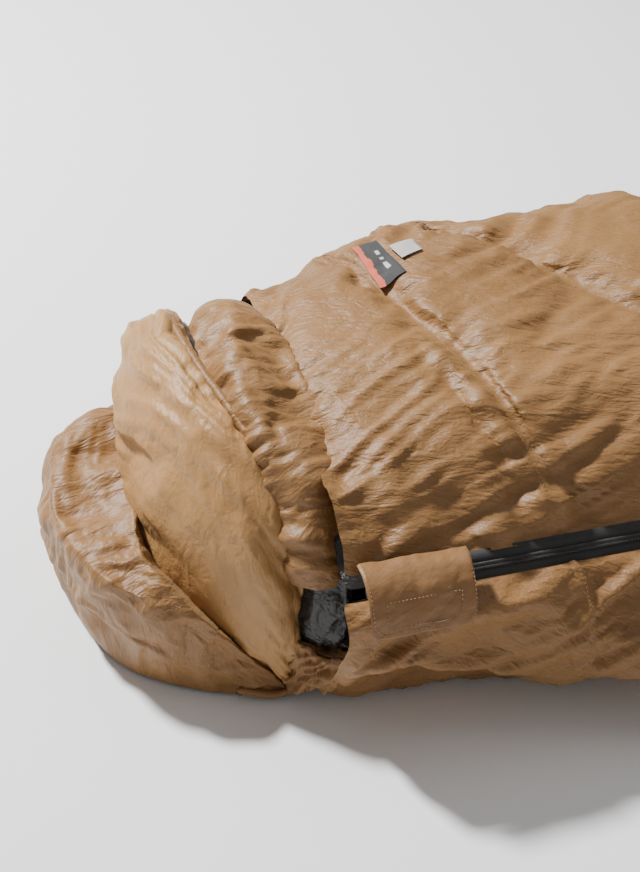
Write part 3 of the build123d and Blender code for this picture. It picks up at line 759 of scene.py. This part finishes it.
def cup(name, material, scale, seed, slack, height):
    """The hood's back, from under the brim down to the floor quilt, with a seam and a dart."""
    rows, columns, shelf = 96, 40, 8
    seam_row, dart_row, dart_end, hem_column = 62, 22, 36, shelf + 30
    shares = np.linspace(0, 1, rows)
    rail, front, ground = [catmull(line, shares)[:, None] for line in (cup_rail, cup_front, cup_ground)]
    down = np.linspace(0, 1, columns)[None, :, None]
    out = np.sin(down * np.pi / 2) ** 0.72
    grid = front + (ground - front) * out
    grid[..., 2:] = ground[..., 2:] + (front - ground)[..., 2:] * np.cos(down * np.pi / 2) ** 0.62
    normal = normals_of(grid, 1)
    swell = np.sin(np.pi * down[0, :, 0])[None] * np.sin(np.pi * shares)[:, None]
    grid = grid + normal * (0.024 * swell)[..., None]
    grid[..., 2] = np.maximum(grid[..., 2], 0.003)
    under = rail + (grid[:, :1] - rail) * np.linspace(0, 1, shelf, endpoint=False)[None, :, None]
    grid = hood_middle + (np.concatenate([under, grid], axis=1) - hood_middle) * scale
    piece = grid_object(name, grid, material)
    index = np.arange(rows * (columns + shelf)).reshape(rows, -1)
    held = [index[:, :shelf + 1].ravel(), index[:, hem_column], index[:, -1], index[0], index[-1]]
    held += [index[seam_row], index[dart_row, shelf:dart_end]]
    inflate(piece, np.unique(np.concatenate(held)), 3.5, slack)
    refine(piece)
    crumple(piece, height, 0.11, 0.032, 1.3, seed)
    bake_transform(piece)
    points = points_of(piece)
    return piece, points[index[seam_row, shelf:]], points[index[dart_row, shelf:dart_end]]


cup_shell, cup_seam, cup_dart = cup("hood_back_quilt_shell", gold_across, 1.0, 79, 0.04, 0.0075)
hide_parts("hood_back_shell", "hood_back_down")
cup_lining, *_ = cup("hood_back_lining_puffs", lining, 0.82, 83, 0.03, 0.004)
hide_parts("hood_back_lining")


# --- Crumpled fabric at the neck, between the brim's tip and the zip ---
def neck_fold(name, low, high, deep, material, height, seed):
    """A small heap of fabric between two rails."""
    grid = between_rails(low, high, [0.4 * deep, deep, deep, 0.4 * deep], 60, 40)
    piece = grid_object(name, grid, material, wrap=True, flip=True, caps=True)
    refine(piece)
    crumple(piece, height, 0.036, 0.016, 0.9, seed)
    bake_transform(piece)
    return piece


lining_low = [(-0.836, -0.158, 0.060), (-0.815, -0.172, 0.070), (-0.793, -0.190, 0.084)]
lining_high = [(-0.822, -0.150, 0.150), (-0.806, -0.160, 0.162), (-0.788, -0.178, 0.170)]
neck_fold("neck_lining_crumple", lining_low, lining_high, 0.012, lining, 0.012, 101)
hem_low = [(-0.848, -0.160, 0.016), (-0.822, -0.166, 0.018), (-0.790, -0.172, 0.018)]
hem_high = [(-0.838, -0.166, 0.084), (-0.814, -0.186, 0.074), (-0.784, -0.214, 0.088)]
neck_fold("neck_edge_crumple", hem_low, hem_high, 0.017, gold_across, 0.020, 103)


# --- Zip tapes, coils and guards ---
def zip_place(s, v, w):
    """A world point from zip coordinates: along, across towards the top quilt, and outward."""
    s, v, w = np.broadcast_arrays(s, v, w)
    return zip_top + s[..., None] * along + v[..., None] * across + w[..., None] * outward


def zip_ribbon(name, section, start, stop):
    """Tape cloth with a section of (across, outward) points, drawn along the zip."""
    step = 0.012
    s = np.linspace(start, stop, round((stop - start) / step))[:, None]
    v, w = np.array(section).T
    return grid_object(name, zip_place(s, v[None], w[None]), tape_cloth, wrap=True, caps=True)


def tape_section(side, inner, outer, low, high):
    edge = [(inner, low), (inner, high), ((inner + outer) / 2, high + 0.0002), (outer, high), (outer, low)]
    return [(side * v, w) for v, w in edge][::side]


def coil(name, side, start, stop):
    """One side's continuous nylon coil: a flattened helix of teeth along the tape's edge."""
    pitch, turns_points = 0.0015, 8
    turns = round((stop - start) / pitch)
    angle = np.linspace(0, 2 * np.pi * turns, turns * turns_points)
    phase = 0.0 if side > 0 else np.pi
    s = start + pitch * (angle + phase) / (2 * np.pi)
    path = np.stack([s, side * (0.0016 + 0.0016 * np.cos(angle)), 0.0007 + 0.0010 * np.sin(angle)], -1)
    ring = np.array([(1, 0), (0, 1), (-1, 0), (0, -1)]) * 0.00038
    radial = np.stack([0 * angle, side * np.cos(angle), np.sin(angle)], -1)
    points = path[:, None] + ring[None, :, 1:] * radial[:, None]
    points[..., 0] += ring[None, :, 0]
    grid = zip_place(points[..., 0], points[..., 1], points[..., 2])
    return grid_object(name, grid, dark_coil_with_highlight, wrap=True, caps=True, flip=side > 0)


for side, half, body in ((1, "upper", None), (-1, "lower", "bag")):
    section = tape_section(side, 0.0010, 0.0150, -0.0009, -0.0001)
    tape = zip_ribbon(f"zip_tape_cloth_{half}", section, 0.0, zip_length)
    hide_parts(f"zip_tape_{half}")
    teeth = coil(f"zip_coil_teeth_{half}", side, 0.016, zip_length - 0.016)
    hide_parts(f"zip_coil_{half}")
    section = tape_section(side, 0.0070, 0.0150, -0.0024, -0.0013)
    guard = zip_ribbon(f"anti_snag_strip_{half}", section, 0.010, zip_length - 0.010)
    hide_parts(f"anti_snag_tape_{half}")
    for piece in (tape, teeth, guard):
        if body:
            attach(piece, body)
        else:
            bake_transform(piece)


# --- Flap over the top of the zip ---
# The flap's section, across and outward, from its sewn edge to its free edge.
flap_line = [(0.0200, 0.0085), (0.0090, 0.0200), (-0.0070, 0.0250), (-0.0280, 0.0220), (-0.0500, 0.0125)]
flap_start, flap_end, flap_round = -0.006, 0.098, 0.012


def flap_point(s, share, lift):
    """A point on the flap: along the zip, a share of the way from its sewn edge to its free edge."""
    line = catmull(flap_line, np.clip(np.ravel(share), 0, 1)).reshape(*np.shape(share), 2)
    slope = catmull(flap_line, np.clip(np.ravel(share) + 0.02, 0, 1)).reshape(*np.shape(share), 2) - line
    slope /= np.maximum(np.linalg.norm(slope, axis=-1, keepdims=True), 1e-6)
    s, _ = np.broadcast_arrays(s, share)
    return zip_place(s, line[..., 0] + lift * slope[..., 1], line[..., 1] - lift * slope[..., 0])


def flap_grid(rows, columns, lift):
    share = np.broadcast_to(np.linspace(0, 0.98, columns)[None], (rows, columns))
    run = 0.080
    past = np.clip(flap_round - (1 - share) * run, 0, flap_round)
    trim = flap_round - np.sqrt(flap_round**2 - past**2)
    t = np.linspace(0, 1, rows)[:, None]
    s = flap_start + trim + (flap_end - flap_start - 2 * trim - 0.006 * share) * t
    rise = 0.0012 * lattice_noise(s / 0.02, share * 4, 5) + 0.0006 * lattice_noise(s / 0.007, share * 11, 6)
    length_mm, width_mm, edge_mm = 104, 80, 1.5
    rim = np.minimum(np.minimum(t, 1 - t) * length_mm, (1 - share) * width_mm)
    rim = np.clip(rim / edge_mm, 0, 1) ** 0.5
    return flap_point(s, share, (lift + rise) * rim)


outer_face = flap_grid(64, 44, 0.0012)
inner_face = flap_grid(64, 44, -0.0008)
flap_faces = np.concatenate([outer_face, inner_face[:, ::-1]], axis=1)
flap = grid_object("zip_flap_cloth", flap_faces, gold_flap, wrap=True)
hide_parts("zip_flap")
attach(flap, "zip_flap")


def patch(name, start, stop, low, high, lift, thick, material, node, body):
    """A hook or loop patch under the flap, its face a bed of short fibres by its material's bump."""
    share = np.linspace(low, high, 12)[None]
    s = np.linspace(start, stop, 30)[:, None]
    faces = [flap_point(s, share + 0 * s, lift), flap_point(s, share + 0 * s, lift - thick)[:, ::-1]]
    piece = grid_object(name, np.concatenate(faces, axis=1), material, wrap=True)
    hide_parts(node)
    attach(piece, body)


patch("hook_patch_cloth", 0.006, 0.086, 0.62, 0.93, -0.0014, 0.0012, hook_cloth, "hook_patch", "zip_flap")
patch("loop_patch_cloth", 0.006, 0.086, 0.62, 0.93, -0.0056, 0.0014, hook_cloth, "loop_patch", "bag")


# --- Stitching ---
def stitches(name, lines, normals, material, length=0.0030, gap=0.0012, radius=0.00035):
    """Rows of thread, one small spindle a stitch, along lines of points with outward normals."""
    lift = 0.0002
    verts, faces = [], []
    for line, normal in zip(lines, normals):
        line, normal = np.asarray(line), np.asarray(normal)
        steps = running(np.linalg.norm(np.diff(line, axis=0), axis=1))
        for at in np.arange(gap, steps[-1] - length, length + gap):
            a, b, up = [np.array([np.interp(p, steps, q[:, k]) for k in range(3)])
                        for p, q in ((at, line), (at + length, line), (at + length / 2, normal))]
            up = up / max(np.linalg.norm(up), 1e-9)
            side = np.cross(b - a, up)
            side *= radius / max(np.linalg.norm(side), 1e-9)
            middle = (a + b) / 2 + up * lift
            base = len(verts)
            verts += [a - up * radius, b - up * radius]
            verts += [middle + side, middle + up * radius * 1.6, middle - side]
            for i, j in ((2, 3), (3, 4)):
                faces += [(base, base + j, base + i), (base + 1, base + i, base + j)]
    mesh = bpy.data.meshes.new(name)
    mesh.from_pydata([tuple(v) for v in verts], [], faces)
    mesh.uv_layers.new(name="flat")
    mesh.materials.append(material)
    piece = bpy.data.objects.new(name, mesh)
    bpy.context.collection.objects.link(piece)
    return piece


def up_normals(line, way):
    return np.broadcast_to(np.array(way, float), np.shape(line))


seam_up = [up_normals(line, (0, -0.3, 0.95)) for line in top_seams]
piece = stitches("top_seam_stitching", top_seams, seam_up, thread)
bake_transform(piece)
seam_up = [up_normals(line, (0, -1, 0.3)) for line in near_seam_lines]
piece = stitches("zip_side_seam_stitching", near_seam_lines, seam_up, thread)
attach(piece, "bag")
seam_up = [up_normals(cup_seam, (-0.7, -0.3, 0.6)), up_normals(cup_dart, (-0.7, -0.6, 0.3))]
piece = stitches("hood_seam_stitching", [cup_seam, cup_dart], seam_up, thread)
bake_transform(piece)


def flap_row(points):
    s, share = np.array(points).T
    return flap_point(s, share, 0.0013), up_normals(s[:, None] * np.ones(3), outward)


def flap_path(corners, count=26):
    corners = np.array(corners, float)
    return np.concatenate([np.linspace(a, b, count) for a, b in zip(corners, corners[1:])])


border_corners = [(-0.003, 0.05), (-0.003, 0.82), (0.004, 0.93), (0.086, 0.93), (0.0935, 0.82)]
border_corners += [(0.0945, 0.05)]
box_corners = [(0.010, 0.56), (0.010, 0.87), (0.078, 0.87), (0.081, 0.56), (0.010, 0.56)]
flap_lines, flap_up = zip(*[flap_row(flap_path(corners)) for corners in (border_corners, box_corners)])
piece = stitches("flap_stitching", flap_lines, flap_up, thread, 0.0028, 0.0010, 0.0005)
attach(piece, "zip_flap")
bar_places = [0.055 + 0.0006 * i for i in range(14)]
bar_lines, bar_up = zip(*[flap_row(flap_path([(s, 0.865), (s, 0.89)], 6)) for s in bar_places])
piece = stitches("flap_thread_bar", bar_lines, bar_up, pale_thread, 0.0018, 0.0001)
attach(piece, "zip_flap")


# --- Labels, laid on the quilt ---
def laid(name, corners, rows, columns, lift, material):
    """A small cloth label that lies on the quilt, smoothing out part of its folds."""
    follow, thick = 0.65, 0.0009
    first, second, third, fourth = [np.array(c, float) for c in corners]
    u, v = np.linspace(0, 1, rows)[:, None, None], np.linspace(0, 1, columns)[None, :, None]
    plan = (first * (1 - u) + fourth * u) * (1 - v) + (second * (1 - u) + third * u) * v
    grid = np.zeros((rows, columns, 3))
    grid[..., :2] = plan
    ground = quilt_top.evaluated_get(bpy.context.evaluated_depsgraph_get())
    for r in range(rows):
        for c in range(columns):
            _, place, *_ = ground.ray_cast(Vector((*plan[r, c], 0.5)), Vector((0, 0, -1)))
            grid[r, c, 2] = place.z
    grid[..., 2] = 0.35 * grid[..., 2].mean() + follow * grid[..., 2]
    grid[..., 2] += lift
    over = grid.copy()
    over[..., 2] += thick
    both = np.concatenate([over, grid[:, ::-1]], axis=1)
    return grid_object(name, both, material, wrap=True)


label_corners = ((-0.685, 0.187), (-0.657, 0.190), (-0.6485, 0.111), (-0.678, 0.104))
tag_corners = ((-0.650, 0.166), (-0.6235, 0.1705), (-0.621, 0.1435), (-0.6455, 0.134))
label = laid("woven_label_cloth", label_corners, 30, 12, 0.0045, label_cloth)
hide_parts("woven_label")
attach(label, "bag")
tag = laid("side_tag_cloth", tag_corners, 12, 12, 0.0035, tag_cloth)
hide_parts("side_tag")
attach(tag, "bag")


# --- Hem, drawcords, draft tube and foot loops ---
def tube(name, controls, radius, rows, columns, material, body, node):
    grid = tube_grid(controls, radius, radius, rows, columns, 0.004, guide=(1.0, 0.02, 0.03))
    piece = grid_object(name, grid, material, wrap=True, flip=True, caps=True)
    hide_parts(node)
    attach(piece, body)
    return piece


hem_path = [(hem_x, -0.152, 0.014), (-0.850, -0.164, 0.010), (-0.829, -0.164, 0.016)]
hem_path += [(x + 0.002, y, z) for x, y, z in brim_front[1:-1]]
hem_path += [(-0.884, 0.214, 0.028), (hem_x, 0.204, 0.016)]
cord_radius = 0.00175
hem = tube("brim_hem_tunnel", hem_path, 0.0042, 180, 12, gold_across, "hood_brim", "brim_hem")
crumple(hem, 0.0016, 0.02, 0.006, 1.5, 91)
tube("brim_cord", hem_path, cord_radius, 180, 8, cord_cloth, "hood_brim", "brim_drawcord")
tube("collar_cord", collar_path, cord_radius, 90, 8, cord_cloth, "top_corner", "collar_drawcord")
tube("collar_cord_tunnel", collar_path, 0.003, 90, 10, lining, "top_corner", "collar_cord_channel")

draft_line = zip_place(np.linspace(0.02, zip_length - 0.02, 150), 0.0, -0.062)
draft_grid = tube_grid(draft_line[::6], 0.021, 0.021, 160, 22, 0.02, guide=(0.0, 0.3, 0.95))
draft = grid_object("draft_tube_puffs", draft_grid, lining, wrap=True, flip=True)
crumple(draft, 0.006, 0.06, 0.018, 1.5, 97)
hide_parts("draft_tube_shell", "draft_tube_down")
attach(draft, "bag")


def paint(material, *nodes):
    """Gives CAD nodes that are kept a finished material."""
    for node in nodes:
        for place in frame["nodes"][node].material_slots:
            place.material = material


low, high = [np.array(corner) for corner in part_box("cord_lock_spring")]
coil_turns, coil_radius, wire_radius = 4.5, 0.0032, 0.0003
turn = np.linspace(0, 2 * np.pi * coil_turns, 130)
spring_line = np.stack([coil_radius * np.cos(turn), coil_radius * np.sin(turn), turn * 0], -1)
spring_line += [(low[0] + high[0]) / 2, (low[1] + high[1]) / 2, low[2] + 0.00035]
spring_line[:, 2] += np.linspace(0, high[2] - low[2] - 3 * wire_radius, len(turn))
wire = np.array([(np.cos(a), np.sin(a)) for a in np.arange(6) * np.pi / 3]) * wire_radius
away = np.stack([np.cos(turn), np.sin(turn), turn * 0], -1)
ring = spring_line[:, None] + away[:, None] * wire[None, :, :1]
ring[..., 2] += wire[None, :, 1]
spring = grid_object("cord_lock_coil_spring", ring, steel, wrap=True, caps=True)
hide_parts("cord_lock_spring")
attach(spring, "hood_brim")
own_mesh(spring)
paint(steel, "brim_eyelets")
paint(dark_metal, "top_slider", "bottom_slider", "top_pull_outer", "top_pull_inner", "bottom_pull")
paint(black_plastic, "cord_lock_body", "cord_lock_button", "zip_stops_upper", "zip_stops_lower")
paint(webbing_cloth, "foot_hang_loops")


# --- Floor ---
reach = 9.0
floor_corners = np.array([[(-reach, -reach, 0), (reach, -reach, 0)], [(-reach, reach, 0), (reach, reach, 0)]])
floor = grid_object("floor", floor_corners, floor_paint.material)
